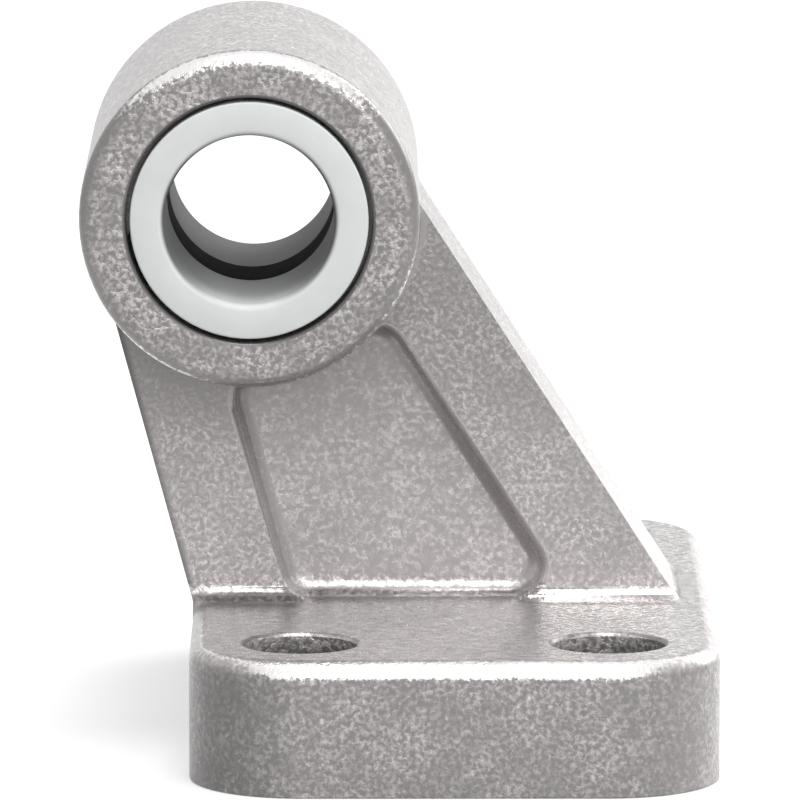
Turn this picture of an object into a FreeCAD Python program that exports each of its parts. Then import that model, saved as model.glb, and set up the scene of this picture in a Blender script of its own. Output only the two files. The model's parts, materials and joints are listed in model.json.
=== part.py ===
import FreeCAD, Part
import math
import os

import Sketcher

# Right-angle clevis foot for a small pneumatic cylinder.
#
# One aluminium casting carries everything: a rectangular foot plate with four bolt holes, a leaning web
# with a recessed panel on each face, and a cross barrel, the eye, at the top of the web. Two plain bushes
# sit in the eye from its two ends, and a black ring fills the space between them.
#
# Frame: X to the toe of the web, Y along the axis of the eye, Z up. The origin is the centre of the four
# bolt holes on the underside of the foot. Millimetres.

Vector = FreeCAD.Vector
UP = Vector(0, 0, 1)
NEAR = 1e-4

SIZES = (
    ("bolt_spacing_x", 18.0, "between bolt holes, along X"),
    ("bolt_spacing_y", 38.0, "between bolt holes, along Y"),
    ("bolt_hole_diameter", 6.6, "clearance hole for an M6 screw"),
    ("bolt_edge_distance", 6.5, "from a bolt hole's centre to the sides of the foot beside it"),
    ("bolt_rim_chamfer", 0.2, "chamfer of the bolt holes' upper rims"),
    ("foot_thickness", 8.0, "foot plate, along Z"),
    ("foot_edge_radius", 1.1, "rounding round the top of the foot"),
    ("bore_diameter", 10.0, "inside of the bushes, for the pivot pin"),
    ("bush_wall", 2.0, "wall of the bushes, a press fit in the eye"),
    ("bush_mouth_chamfer", 0.4, "chamfer of the bore's mouth"),
    ("bush_rim_chamfer", 0.12, "chamfer of the bushes' outer rim"),
    ("spacer_length", 5.7, "black ring between the bushes"),
    ("eye_wall", 3.0, "wall of the casting round the bushes"),
    ("eye_length", 26.0, "barrel, along Y"),
    ("eye_offset", 12.0, "axis of the eye, left of the origin"),
    ("eye_height", 32.0, "axis of the eye, above the underside"),
    ("eye_edge_radius", 0.95, "rounding of the barrel's two ends"),
    ("relief_width", 0.25, "open ring round each bush's outer end"),
    ("relief_depth", 2.0, "depth of that ring"),
    ("relief_mouth_chamfer", 0.15, "chamfer of the ring's mouth in the casting"),
    ("web_thickness", 10.4, "web, along Y"),
    ("web_toe_land", 0.9, "flat of the foot left beyond the web's toe"),
    ("web_root_radius", 1.0, "fillet between web and foot"),
    ("eye_root_radius", 0.8, "fillet between web and barrel"),
    ("recess_depth", 2.13, "panel below the web's faces, each side"),
    ("left_rib_width", 5.5, "rib left of the recess, square to its side"),
    ("slope_rib_width", 5.4, "rib along the slope, square to its side"),
    ("recess_corner_radius", 2.0, "corners of the recess outline"),
    ("recess_floor_radius", 1.0, "fillet round the recess floor"),
    ("cut_allowance", 2.0, "how far blanks and cuts run past the material"),
)

doc = FreeCAD.newDocument("clevis_foot")
sheet = doc.addObject("Spreadsheet::Sheet", "Sizes")
for row, (alias, number, note) in enumerate(SIZES, start=1):
    sheet.set("A%d" % row, alias)
    sheet.set("B%d" % row, str(number))
    sheet.set("C%d" % row, note)
    sheet.setAlias("B%d" % row, alias)
doc.recompute()

# Places and radii that several features share, as expressions on the sheet
FOOT_RIGHT = "(Sizes.bolt_spacing_x / 2 + Sizes.bolt_edge_distance)"
FOOT_LEFT = "-" + FOOT_RIGHT
FOOT_REAR = "(Sizes.bolt_spacing_y / 2 + Sizes.bolt_edge_distance)"
FOOT_FRONT = "-" + FOOT_REAR
FOOT_TOP = "Sizes.foot_thickness"
TOE = FOOT_RIGHT + " - Sizes.foot_edge_radius - Sizes.web_toe_land"
SEAT_RADIUS = "(Sizes.bore_diameter / 2 + Sizes.bush_wall)"
RELIEF_RADIUS = "(" + SEAT_RADIUS + " + Sizes.relief_width)"
EYE_RADIUS = "(" + SEAT_RADIUS + " + Sizes.eye_wall)"
EYE_X = "-Sizes.eye_offset"
EYE_Z = "Sizes.eye_height"
EYE_LEFT = EYE_X + " - " + EYE_RADIUS
EYE_RIGHT = EYE_X + " + " + EYE_RADIUS
BLANK_LEFT = "min(" + FOOT_LEFT + "; " + EYE_LEFT + ") - Sizes.cut_allowance"
PANEL_HALF = "Sizes.web_thickness / 2 - Sizes.recess_depth"


def measure(expression):
    """Work out an expression on the sheet as a plain number."""
    return float(sheet.evalExpression(expression))


def size(alias):
    """Read one size from the sheet."""
    return measure("Sizes." + alias)


# Sketch helpers


def origin_plane(body, role):
    """Find one of the body's own origin planes."""
    for feature in body.Origin.OriginFeatures:
        if feature.Role == role:
            return feature
    raise ValueError("no origin plane called " + role)


def add_sketch(body, name, role, offset, turn=0):
    """Lay an empty sketch on an origin plane, moved by expressions for the plane's own axes."""
    sketch = body.newObject("Sketcher::SketchObject", name)
    sketch.AttachmentSupport = (origin_plane(body, role), [""])
    sketch.MapMode = "FlatFace"
    sketch.AttachmentOffset = FreeCAD.Placement(Vector(0, 0, 0), FreeCAD.Rotation(UP, turn))
    for axis, expression in offset.items():
        sketch.setExpression("AttachmentOffset.Base." + axis, expression)
    return sketch


def dimension(sketch, name, expression, *constraint):
    """Add a named dimension that follows the sheet."""
    index = sketch.addConstraint(Sketcher.Constraint(*constraint, measure(expression)))
    sketch.renameConstraint(index, name)
    sketch.setExpression("Constraints." + name, expression)


def pin_point(sketch, name, curve, end, across, along):
    """Fix one end of a curve at a distance from the sketch's origin."""
    dimension(sketch, name + "_across", across, "DistanceX", -1, 1, curve, end)
    dimension(sketch, name + "_along", along, "DistanceY", -1, 1, curve, end)


def add_line(sketch, start, end, construction=False):
    """Draw a line between two points of the sketch."""
    return sketch.addGeometry(Part.LineSegment(start, end), construction)


def add_arc(sketch, centre, start, end):
    """Draw an arc, anticlockwise from start to end."""
    circle = Part.Circle(centre, UP, (start - centre).Length)
    first = math.atan2(start.y - centre.y, start.x - centre.x)
    last = math.atan2(end.y - centre.y, end.x - centre.x)
    if last < first:
        last += 2 * math.pi
    return sketch.addGeometry(Part.ArcOfCircle(circle, first, last), False)


def add_polygon(sketch, corners):
    """Draw a closed polygon from named corners, each placed by two expressions."""
    points = []
    for name, across, along in corners:
        points.append(Vector(measure(across), measure(along), 0))
    lines = []
    for index, point in enumerate(points):
        lines.append(add_line(sketch, point, points[(index + 1) % len(points)]))
    for index, line in enumerate(lines):
        following = lines[(index + 1) % len(lines)]
        sketch.addConstraint(Sketcher.Constraint("Coincident", line, 2, following, 1))
    for line, (name, across, along) in zip(lines, corners):
        pin_point(sketch, name, line, 1, across, along)


# Feature helpers


def add_pad(body, name, sketch, length):
    """Add material to both sides of a sketch."""
    pad = body.newObject("PartDesign::Pad", name)
    pad.Profile = sketch
    pad.SideType = "Symmetric"
    pad.setExpression("Length", length)
    doc.recompute()
    return pad


def edge_names(shape, test):
    """Name the edges of a shape that pass a test at seven points."""
    names = []
    for number, edge in enumerate(shape.Edges, start=1):
        first, last = edge.ParameterRange
        points = [edge.valueAt(first + (last - first) * step / 6) for step in range(7)]
        if all(test(point) for point in points):
            names.append("Edge%d" % number)
    return names


def dress_edges(body, kind, name, base, test, amount, expression):
    """Round or chamfer the edges of a feature that pass a test."""
    names = edge_names(base.Shape, test)
    if not names:
        raise RuntimeError(name + " finds no edge")
    feature = body.newObject(kind, name)
    feature.Base = (base, names)
    feature.setExpression(amount, expression)
    doc.recompute()
    if feature.Shape.isNull() or not feature.Shape.isValid():
        raise RuntimeError(name + " can't be made")
    return feature


def add_fillet(body, name, base, radius, test):
    return dress_edges(body, "PartDesign::Fillet", name, base, test, "Radius", radius)


def add_chamfer(body, name, base, width, test):
    return dress_edges(body, "PartDesign::Chamfer", name, base, test, "Size", width)


# Casting: foot plate

cast_foot = doc.addObject("PartDesign::Body", "cast_foot")

foot_top = size("foot_thickness")
foot_left = measure(FOOT_LEFT)
foot_right = measure(FOOT_RIGHT)
foot_rear = measure(FOOT_REAR)

plate_sketch = add_sketch(cast_foot, "plate_outline", "XY_Plane", {"z": "Sizes.foot_thickness / 2"})
add_polygon(plate_sketch, (
    ("front_left", FOOT_LEFT, FOOT_FRONT),
    ("front_right", FOOT_RIGHT, FOOT_FRONT),
    ("rear_right", FOOT_RIGHT, FOOT_REAR),
    ("rear_left", FOOT_LEFT, FOOT_REAR),
))
plate = add_pad(cast_foot, "foot_plate", plate_sketch, "Sizes.foot_thickness")


def on_upright_corner(point):
    on_side = abs(abs(point.x) - foot_right) < NEAR
    return on_side and abs(abs(point.y) - foot_rear) < NEAR


def on_foot_rim(point):
    """All edges at the top of the plate: its sides and its rounded corners."""
    return abs(point.z - foot_top) < NEAR


# The corners of the foot are rounded about the bolt holes' centres
plate_corners = add_fillet(
    cast_foot, "foot_corners", plate, "Sizes.bolt_edge_distance", on_upright_corner)
plate_rim = add_fillet(
    cast_foot, "foot_top_rounding", plate_corners, "Sizes.foot_edge_radius", on_foot_rim)

# Casting: web, first as a blank that overhangs the foot on the left

web_face = size("web_thickness") / 2
toe = measure(TOE)

web_sketch = add_sketch(cast_foot, "web_outline", "XZ_Plane", {})
add_polygon(web_sketch, (
    ("foot_left", BLANK_LEFT, "Sizes.foot_thickness / 2"),
    ("foot_right", TOE, "Sizes.foot_thickness / 2"),
    ("toe", TOE, FOOT_TOP),
    ("eye_right", EYE_RIGHT, EYE_Z),
    ("eye_left", BLANK_LEFT, EYE_Z),
))
web = add_pad(cast_foot, "web", web_sketch, "Sizes.web_thickness")


def on_web_root(point):
    """Where the web meets the foot: along both faces, over the rounded rim, and at the toe."""
    beside_face = abs(abs(point.y) - web_face) < NEAR and point.z < foot_top + NEAR
    at_toe = abs(point.x - toe) < NEAR and abs(point.z - foot_top) < NEAR
    return (beside_face and point.x > foot_left - NEAR) or at_toe


web_root = add_fillet(cast_foot, "web_root", web, "Sizes.web_root_radius", on_web_root)

# Casting: the web's left side leans from the foot's edge to the eye

lean_sketch = add_sketch(cast_foot, "lean_cut_outline", "XZ_Plane", {})
add_polygon(lean_sketch, (
    ("below_right", FOOT_LEFT, "-Sizes.cut_allowance"),
    ("foot_edge", FOOT_LEFT, FOOT_TOP),
    ("eye_side", EYE_LEFT, EYE_Z),
    ("above_right", EYE_LEFT, EYE_Z + " + Sizes.cut_allowance"),
    ("above_left", BLANK_LEFT + " - Sizes.cut_allowance", EYE_Z + " + Sizes.cut_allowance"),
    ("below_left", BLANK_LEFT + " - Sizes.cut_allowance", "-Sizes.cut_allowance"),
))
lean_cut = cast_foot.newObject("PartDesign::Pocket", "lean_cut")
lean_cut.Profile = lean_sketch
lean_cut.SideType = "Symmetric"
lean_cut.setExpression("Length", "2 * " + FOOT_REAR)
doc.recompute()


# Casting: the eye

eye_x = measure(EYE_X)
eye_z = measure(EYE_Z)
eye_radius = measure(EYE_RADIUS)
eye_end = size("eye_length") / 2

# The sketch is turned so that the barrel's seam lies at its top, clear of the web
eye_sketch = add_sketch(cast_foot, "eye_outline", "XZ_Plane", {"x": EYE_X, "y": EYE_Z}, 90)
eye_circle = eye_sketch.addGeometry(Part.Circle(Vector(0, 0, 0), UP, eye_radius), False)
eye_sketch.addConstraint(Sketcher.Constraint("Coincident", eye_circle, 3, -1, 1))
dimension(eye_sketch, "outside", EYE_RADIUS, "Radius", eye_circle)
eye = add_pad(cast_foot, "eye", eye_sketch, "Sizes.eye_length")


def from_eye(point):
    """Distance from the axis of the eye."""
    return math.hypot(point.x - eye_x, point.z - eye_z)


def on_eye_root(point):
    on_barrel = abs(from_eye(point) - eye_radius) < NEAR
    return on_barrel and abs(point.y) < web_face + NEAR


eye_root = add_fillet(cast_foot, "eye_root", eye, "Sizes.eye_root_radius", on_eye_root)

# Casting: recessed panels, one outline cut from both faces of the web


def recess_centres():
    """Centres of the four corner arcs, and the inward directions of the two walls."""
    radius = size("recess_corner_radius")
    eye_centre = Vector(eye_x, eye_z, 0)
    left_foot = Vector(foot_left, foot_top, 0)
    left_eye = Vector(measure(EYE_LEFT), eye_z, 0)
    right_foot = Vector(toe, foot_top, 0)
    right_eye = Vector(measure(EYE_RIGHT), eye_z, 0)
    found = []
    for start, end, rib, turn in (
        (left_foot, left_eye, size("left_rib_width"), 1),
        (right_foot, right_eye, size("slope_rib_width"), -1),
    ):
        run = (end - start).normalize()
        inward = Vector(run.y * turn, -run.x * turn, 0)
        origin = start + inward * (rib + radius)
        bottom = origin + run * ((foot_top + radius - origin.y) / run.y)
        back = (origin - eye_centre).dot(run)
        reach = (origin - eye_centre).Length ** 2 - (eye_radius + radius) ** 2
        top = origin + run * (-back - math.sqrt(back ** 2 - reach))
        found.append((bottom, top, inward))
    return found


def draw_recess(sketch):
    """Draw the recess outline anticlockwise, from lines and arcs that are tangent all round."""
    radius = size("recess_corner_radius")
    eye_centre = Vector(eye_x, eye_z, 0)
    (low_left, high_left, from_left), (low_right, high_right, from_right) = recess_centres()
    floor_left = low_left - Vector(0, radius, 0)
    floor_right = low_right - Vector(0, radius, 0)
    wall_left = (low_left - from_left * radius, high_left - from_left * radius)
    wall_right = (low_right - from_right * radius, high_right - from_right * radius)
    arch_left = eye_centre + (high_left - eye_centre).normalize() * eye_radius
    arch_right = eye_centre + (high_right - eye_centre).normalize() * eye_radius

    floor = add_line(sketch, floor_left, floor_right)
    corner_1 = add_arc(sketch, low_right, floor_right, wall_right[0])
    right = add_line(sketch, wall_right[0], wall_right[1])
    corner_2 = add_arc(sketch, high_right, wall_right[1], arch_right)
    arch = add_arc(sketch, eye_centre, arch_left, arch_right)
    corner_3 = add_arc(sketch, high_left, arch_left, wall_left[1])
    left = add_line(sketch, wall_left[1], wall_left[0])
    corner_4 = add_arc(sketch, low_left, wall_left[0], floor_left)
    for first, first_end, second, second_end in (
        (floor, 2, corner_1, 1),
        (corner_1, 2, right, 1),
        (right, 2, corner_2, 1),
        (corner_2, 2, arch, 2),
        (arch, 1, corner_3, 1),
        (corner_3, 2, left, 1),
        (left, 2, corner_4, 1),
        (corner_4, 2, floor, 1),
    ):
        sketch.addConstraint(Sketcher.Constraint("Tangent", first, first_end, second, second_end))

    # The floor is level with the top of the foot and the arch follows the barrel
    sketch.addConstraint(Sketcher.Constraint("Horizontal", floor))
    dimension(sketch, "floor_height", FOOT_TOP, "DistanceY", -1, 1, floor, 1)
    dimension(sketch, "arch_radius", EYE_RADIUS, "Radius", arch)
    pin_point(sketch, "arch_centre", arch, 3, EYE_X, EYE_Z)
    dimension(sketch, "corner_radius", "Sizes.recess_corner_radius", "Radius", corner_1)
    for corner in (corner_2, corner_3, corner_4):
        sketch.addConstraint(Sketcher.Constraint("Equal", corner_1, corner))

    # The walls run alongside the web's two sides
    lean_start = Vector(foot_left, foot_top, 0)
    lean_end = Vector(measure(EYE_LEFT), eye_z, 0)
    lean_side = add_line(sketch, lean_start, lean_end, True)
    pin_point(sketch, "lean_foot", lean_side, 1, FOOT_LEFT, FOOT_TOP)
    pin_point(sketch, "lean_eye", lean_side, 2, EYE_LEFT, EYE_Z)
    slope_start = Vector(toe, foot_top, 0)
    slope_end = Vector(measure(EYE_RIGHT), eye_z, 0)
    slope_side = add_line(sketch, slope_start, slope_end, True)
    pin_point(sketch, "slope_foot", slope_side, 1, TOE, FOOT_TOP)
    pin_point(sketch, "slope_eye", slope_side, 2, EYE_RIGHT, EYE_Z)
    sketch.addConstraint(Sketcher.Constraint("Parallel", left, lean_side))
    sketch.addConstraint(Sketcher.Constraint("Parallel", right, slope_side))
    dimension(sketch, "left_rib", "Sizes.left_rib_width", "Distance", left, 1, lean_side)
    dimension(sketch, "slope_rib", "Sizes.slope_rib_width", "Distance", right, 1, slope_side)


recess_sketch = add_sketch(cast_foot, "recess_outline", "XZ_Plane", {"z": PANEL_HALF})
draw_recess(recess_sketch)
recess = cast_foot.newObject("PartDesign::Pocket", "front_recess")
recess.Profile = recess_sketch
recess.Type = "ThroughAll"
recess.Reversed = True
doc.recompute()

both_recesses = cast_foot.newObject("PartDesign::Mirrored", "both_recesses")
both_recesses.Originals = [recess]
both_recesses.MirrorPlane = (origin_plane(cast_foot, "XZ_Plane"), [""])
cast_foot.Tip = both_recesses
doc.recompute()

panel = measure(PANEL_HALF)


def on_recess_floor(point):
    return abs(abs(point.y) - panel) < NEAR


recess_floor = add_fillet(
    cast_foot, "recess_floor", both_recesses, "Sizes.recess_floor_radius", on_recess_floor)

# Casting: rounded ends of the eye


def on_eye_end(point):
    return abs(abs(point.y) - eye_end) < NEAR and abs(from_eye(point) - eye_radius) < NEAR


eye_ends = add_fillet(cast_foot, "eye_ends", recess_floor, "Sizes.eye_edge_radius", on_eye_end)

# Casting: bore for the bushes, stepped wider for a short way at both ends

seat_radius = measure(SEAT_RADIUS)
relief_radius = measure(RELIEF_RADIUS)
BORE_END = "(Sizes.eye_length / 2 + Sizes.cut_allowance)"
STEP = "(Sizes.eye_length / 2 - Sizes.relief_depth)"

bore_sketch = add_sketch(cast_foot, "bore_profile", "YZ_Plane", {"y": EYE_Z, "z": EYE_X})
add_polygon(bore_sketch, (
    ("front_axis", "-" + BORE_END, "0"),
    ("front_mouth", "-" + BORE_END, RELIEF_RADIUS),
    ("front_step", "-" + STEP, RELIEF_RADIUS),
    ("front_seat", "-" + STEP, SEAT_RADIUS),
    ("rear_seat", STEP, SEAT_RADIUS),
    ("rear_step", STEP, RELIEF_RADIUS),
    ("rear_mouth", BORE_END, RELIEF_RADIUS),
    ("rear_axis", BORE_END, "0"),
))
bore = cast_foot.newObject("PartDesign::Groove", "bush_bore")
bore.Profile = bore_sketch
bore.ReferenceAxis = (bore_sketch, ["H_Axis"])
bore.Angle = 360
doc.recompute()


def on_relief_mouth(point):
    return abs(abs(point.y) - eye_end) < NEAR and abs(from_eye(point) - relief_radius) < NEAR


relief_mouth = add_chamfer(
    cast_foot, "relief_mouth", bore, "Sizes.relief_mouth_chamfer", on_relief_mouth)

# Casting: four bolt holes

hole_sketch = add_sketch(cast_foot, "bolt_hole_outline", "XY_Plane", {"z": FOOT_TOP})
hole_centre = Vector(-size("bolt_spacing_x") / 2, -size("bolt_spacing_y") / 2, 0)
hole_radius = size("bolt_hole_diameter") / 2
hole_circle = hole_sketch.addGeometry(Part.Circle(hole_centre, UP, hole_radius), False)
dimension(hole_sketch, "outside", "Sizes.bolt_hole_diameter", "Diameter", hole_circle)
pin_point(
    hole_sketch, "centre", hole_circle, 3, "-Sizes.bolt_spacing_x / 2", "-Sizes.bolt_spacing_y / 2")
doc.recompute()

bolt_hole = cast_foot.newObject("PartDesign::Hole", "bolt_hole")
bolt_hole.Profile = hole_sketch
bolt_hole.DepthType = "ThroughAll"
bolt_hole.setExpression("Diameter", "Sizes.bolt_hole_diameter")
doc.recompute()

bolt_holes = cast_foot.newObject("PartDesign::LinearPattern", "bolt_holes")
bolt_holes.Originals = [bolt_hole]
bolt_holes.Direction = (hole_sketch, ["H_Axis"])
bolt_holes.setExpression("Length", "Sizes.bolt_spacing_x")
bolt_holes.Occurrences = 2
bolt_holes.Direction2 = (hole_sketch, ["V_Axis"])
bolt_holes.setExpression("Length2", "Sizes.bolt_spacing_y")
bolt_holes.Occurrences2 = 2
cast_foot.Tip = bolt_holes
doc.recompute()


def on_hole_rim(point):
    across = abs(point.x) - size("bolt_spacing_x") / 2
    along = abs(point.y) - size("bolt_spacing_y") / 2
    on_top = abs(point.z - foot_top) < NEAR
    return on_top and abs(math.hypot(across, along) - hole_radius) < NEAR


hole_rims = add_chamfer(cast_foot, "hole_rims", bolt_holes, "Sizes.bolt_rim_chamfer", on_hole_rim)
cast_foot.Tip = hole_rims

# Bushes and the ring between them, each turned about its own Y axis at the centre of the eye


def add_ring(name, turn, start, end):
    """Turn a plain ring between two places along the axis of the eye."""
    body = doc.addObject("PartDesign::Body", name)
    sketch = add_sketch(body, name + "_profile", "XY_Plane", {})
    add_polygon(sketch, (
        ("bore_start", "Sizes.bore_diameter / 2", start),
        ("seat_start", SEAT_RADIUS, start),
        ("seat_end", SEAT_RADIUS, end),
        ("bore_end", "Sizes.bore_diameter / 2", end),
    ))
    ring = body.newObject("PartDesign::Revolution", name + "_ring")
    ring.Profile = sketch
    ring.ReferenceAxis = (sketch, ["V_Axis"])
    ring.Angle = 360
    body.Placement = FreeCAD.Placement(Vector(0, 0, 0), FreeCAD.Rotation(UP, turn))
    body.setExpression("Placement.Base.x", EYE_X)
    body.setExpression("Placement.Base.z", EYE_Z)
    doc.recompute()
    return body, ring


def on_bush_circle(radius):
    """Test for a circle on the outer end of a bush, in the bush's own frame."""
    def test(point):
        on_end = abs(point.y + eye_end) < NEAR
        return on_end and abs(math.hypot(point.x, point.z) - radius) < NEAR
    return test


def add_bush(name, turn):
    """A bush from the end of the eye to the black ring, with its outer end eased."""
    body, ring = add_ring(name, turn, "-Sizes.eye_length / 2", "-Sizes.spacer_length / 2")
    mouth = add_chamfer(
        body, name + "_mouth", ring, "Sizes.bush_mouth_chamfer",
        on_bush_circle(size("bore_diameter") / 2))
    rim = add_chamfer(
        body, name + "_rim", mouth, "Sizes.bush_rim_chamfer", on_bush_circle(seat_radius))
    body.Tip = rim
    return body


front_bush = add_bush("front_bush", 0)
rear_bush = add_bush("rear_bush", 180)
spacer_ring, spacer_band = add_ring(
    "spacer_ring", 0, "-Sizes.spacer_length / 2", "Sizes.spacer_length / 2")

# Every feature must be sound and change its body before anything is written

doc.recompute()
for item in doc.Objects:
    for state in ("Invalid", "Error"):
        if state in item.State:
            raise RuntimeError(item.Name + " is in the state " + state)
    if item.isDerivedFrom("Sketcher::SketchObject") and not item.FullyConstrained:
        raise RuntimeError(item.Name + " isn't fully constrained")

pieces = (cast_foot, front_bush, rear_bush, spacer_ring)
for piece in pieces:
    volume = 0.0
    for feature in piece.Group:
        if feature.isDerivedFrom("PartDesign::Feature"):
            if not feature.Shape.isValid() or len(feature.Shape.Solids) != 1:
                raise RuntimeError(feature.Name + " isn't one sound solid")
            if abs(feature.Shape.Volume - volume) < NEAR:
                raise RuntimeError(feature.Name + " changes nothing")
            volume = feature.Shape.Volume
    if piece.Shape.isNull() or not piece.Shape.isValid():
        raise RuntimeError(piece.Name + " has no sound shape")

os.makedirs("parts", exist_ok=True)
for piece in pieces:
    piece.Label = piece.Name
    piece.Shape.exportStep(os.path.join("parts", piece.Label + ".step"))
    box = piece.Shape.BoundBox
    print("%s %.1f mm3, %.2f x %.2f x %.2f mm" % (
        piece.Label, piece.Shape.Volume, box.XLength, box.YLength, box.ZLength))
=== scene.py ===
import json
import math
from types import SimpleNamespace

import bmesh
import bpy
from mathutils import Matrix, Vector


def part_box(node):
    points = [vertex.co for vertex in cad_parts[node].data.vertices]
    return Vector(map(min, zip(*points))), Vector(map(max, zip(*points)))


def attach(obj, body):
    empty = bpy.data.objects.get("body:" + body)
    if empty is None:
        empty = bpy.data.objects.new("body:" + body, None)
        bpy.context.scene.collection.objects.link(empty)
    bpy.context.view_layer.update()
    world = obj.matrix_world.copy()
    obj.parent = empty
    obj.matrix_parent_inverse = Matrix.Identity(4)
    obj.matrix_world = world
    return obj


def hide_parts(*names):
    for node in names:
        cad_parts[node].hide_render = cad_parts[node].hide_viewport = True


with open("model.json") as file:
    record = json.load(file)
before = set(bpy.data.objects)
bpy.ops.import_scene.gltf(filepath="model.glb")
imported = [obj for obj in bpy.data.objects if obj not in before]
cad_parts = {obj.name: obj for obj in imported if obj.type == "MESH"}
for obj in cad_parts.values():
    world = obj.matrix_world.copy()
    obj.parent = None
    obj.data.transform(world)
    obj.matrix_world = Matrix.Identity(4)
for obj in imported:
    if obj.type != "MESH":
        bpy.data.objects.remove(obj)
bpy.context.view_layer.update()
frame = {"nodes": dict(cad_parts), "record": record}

bl_info = {
    "name": "Cylinder clevis foot",
    "version": (1, 0, 0),
    "blender": (4, 5, 0),
    "location": "3D View > Sidebar > Clevis foot",
    "description": (
        "Finishes a cast right-angle clevis foot, its two bushes and the black ring between them"),
    "category": "Object",
}

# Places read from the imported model, in metres

MM = 0.001
FRONT_LOW, FRONT_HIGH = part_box("front_bush")
REAR_LOW, REAR_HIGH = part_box("rear_bush")
MOUNTS = {mount["name"]: mount for mount in frame["record"]["mounts"]}
EYE_CENTRE = Vector(MOUNTS["pivot_bore"]["pos_m"])
BORE_RADIUS = MOUNTS["pivot_bore"]["dims"]["r_mm"] * MM
SEAT_RADIUS = (FRONT_HIGH.x - FRONT_LOW.x) / 2

# Lines by which the casting's edges and faces are told apart, in metres:
# a SKIN lies just outside its surface, and a REACH is measured from an axis

SAME_PLACE, FLUSH = 0.001 * MM, 0.01 * MM
FOOT_TOP = 8.0 * MM
FOOT_SKIN = 8.05 * MM
FOOT_TURN = 6.8 * MM
ROOT_TOP = 9.1 * MM
ABOVE_ROOT = 8.5 * MM
HOLE_X, HOLE_Y = 9.0 * MM, 19.0 * MM
HOLE_REACH, HOLE_TOP = 3.7 * MM, 8.1 * MM
CHAMFER_LOW, CHAMFER_REACH = 7.5 * MM, 4.5 * MM
WEB_FACE, NEAR_WEB = 5.2 * MM, 0.2 * MM
WEB_SKIN = 5.3 * MM
SHORTEST_EDGE = 0.2 * MM
RECESS_DEEP, RECESS_SHALLOW = 3.0 * MM, 4.92 * MM
RECESS_MOUTH = 5.0 * MM
PANEL_SKIN = 4.0 * MM
BEYOND_PANEL = 2.0 * MM
RIGHT_ROOT_X, RIGHT_ROOT_Y = 5.0 * MM, 4.0 * MM
EYE_END, RELIEF_END = 12.0 * MM, 12.5 * MM
EYE_SKIN, EYE_FACE_REACH = 10.1 * MM, 9.3 * MM
EYE_FILLET, CLEAR_OF_EYE = 10.75 * MM, 10.8 * MM
RELIEF_REACH = 7.5 * MM
RELIEF_MOUTH_LOW, RELIEF_MOUTH_HIGH = 7.1 * MM, 7.7 * MM
LEFT_FOOT = Vector((-15.66, 0.0, 8.58)) * MM
LEFT_FLANK = Vector((0.965, 0.0, 0.261))

# Parts of a face's normal by which its kind is told

FLAT = 0.98
UPRIGHT = 0.05
SQUARE = 0.1
STEEP = 0.3
HALFWAY = 0.5
SIDEWAYS = 0.9
TOWARDS_FRONT = 0.6
# Painted highlights fade where a rounding turns sideways, by this spread
FACING_AHEAD = (0.25, 0.55, 1.0, 0.0)
# Picks the eye's roundings that face down, whose ground is painted paler
FACING_DOWN = (0.0, 0.5, 0.0, 1.0)

# Angles in degrees: edges sharper than SHARP are eased, flatter ones than SMOOTH are shaded
# smooth, and faces that turn less than SAME_FACE are one

WEB_SHARP, CHAMFER_SHARP, UNDERSIDE_SHARP = 50.0, 35.0, 60.0
CASTING_SMOOTH, BUSH_SMOOTH = 35.0, 40.0
SAME_FACE = 0.4

# Faces across each rounding, and round each bush and the floor

ROUNDING_STEPS, EASING_STEPS, MOUTH_STEPS = 3, 2, 6
BUSH_SIDES, FLOOR_SIDES = 192, 96

# Each kind of face: how densely the specks lie on it, and the painted light or shade of its
# ground, darker in the bolt holes, the relief, on the eye's faces and the foot's top, paler on the
# barrel, the slope and the web's turned edges

SKINS = {
    "hole wall": (2.0, 0.68),
    "eye face": (1.25, 0.86),
    "relief": (0.1, 0.6),
    "barrel": (1.4, 1.28),
    "foot top": (0.3, 0.925),
    "web face": (0.65, 0.94),
    "recess floor": (0.45, 1.03),
    "slope": (0.9, 1.32),
    "upright side": (0.65, 1.0),
    "left turn": (0.2, 1.35),
    "right turn": (0.2, 1.25),
    "root": (0.2, 1.0),
}

# Faces that turn: from and to along a part of the normal, then the value at each. Their grounds
# are painted light and shade: darker on hole chamfers facing right and paler on those facing left,
# paler on the foot's sides facing right, on the recess walls and on the eye's roundings facing
# down

CHAMFER_SPECKS, WALL_SPECKS = 0.3, 0.1
CHAMFER_GROUND = (-1.0, 1.0, 1.2, 0.4)
EYE_TURN_SPECKS = (0.75, 1.0, 0.1, 1.2)
EYE_TURN_GROUND, EYE_TURN_LIFT = 0.96, 0.6
FOOT_SIDE_SPECKS = (0.0, 1.0, 0.9, 0.0)
FOOT_SIDE_GROUND = (0.0, 1.0, 0.95, 1.3)
LEFT_WALL_GROUND = (0.0, 1.0, 2.3, 1.0)
RIGHT_WALL_GROUND = (0.0, 1.0, 2.1, 1.0)

# How strongly each rounding shows wear with a painted highlight, and how dark the painted shade is
# in hollows and at the foot's corners

RUBBED_AND_HIGHLIT = {
    "chamfer": 0.5,
    "web face": 0.5,
    "root": 0.52,
    "right root": 1.15,
    "eye": 1.0,
    "foot side": 1.0,
}
# Painted shade on rounded faces in the recesses and on the foot's upright corners, then on the
# rounded corners of the foot's top edge
HOLLOW_SHADE = -0.5
CORNER_SHADE = 0.3

# Where the casting's finish changes: from and to in millimetres, then the strength at each

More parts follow.
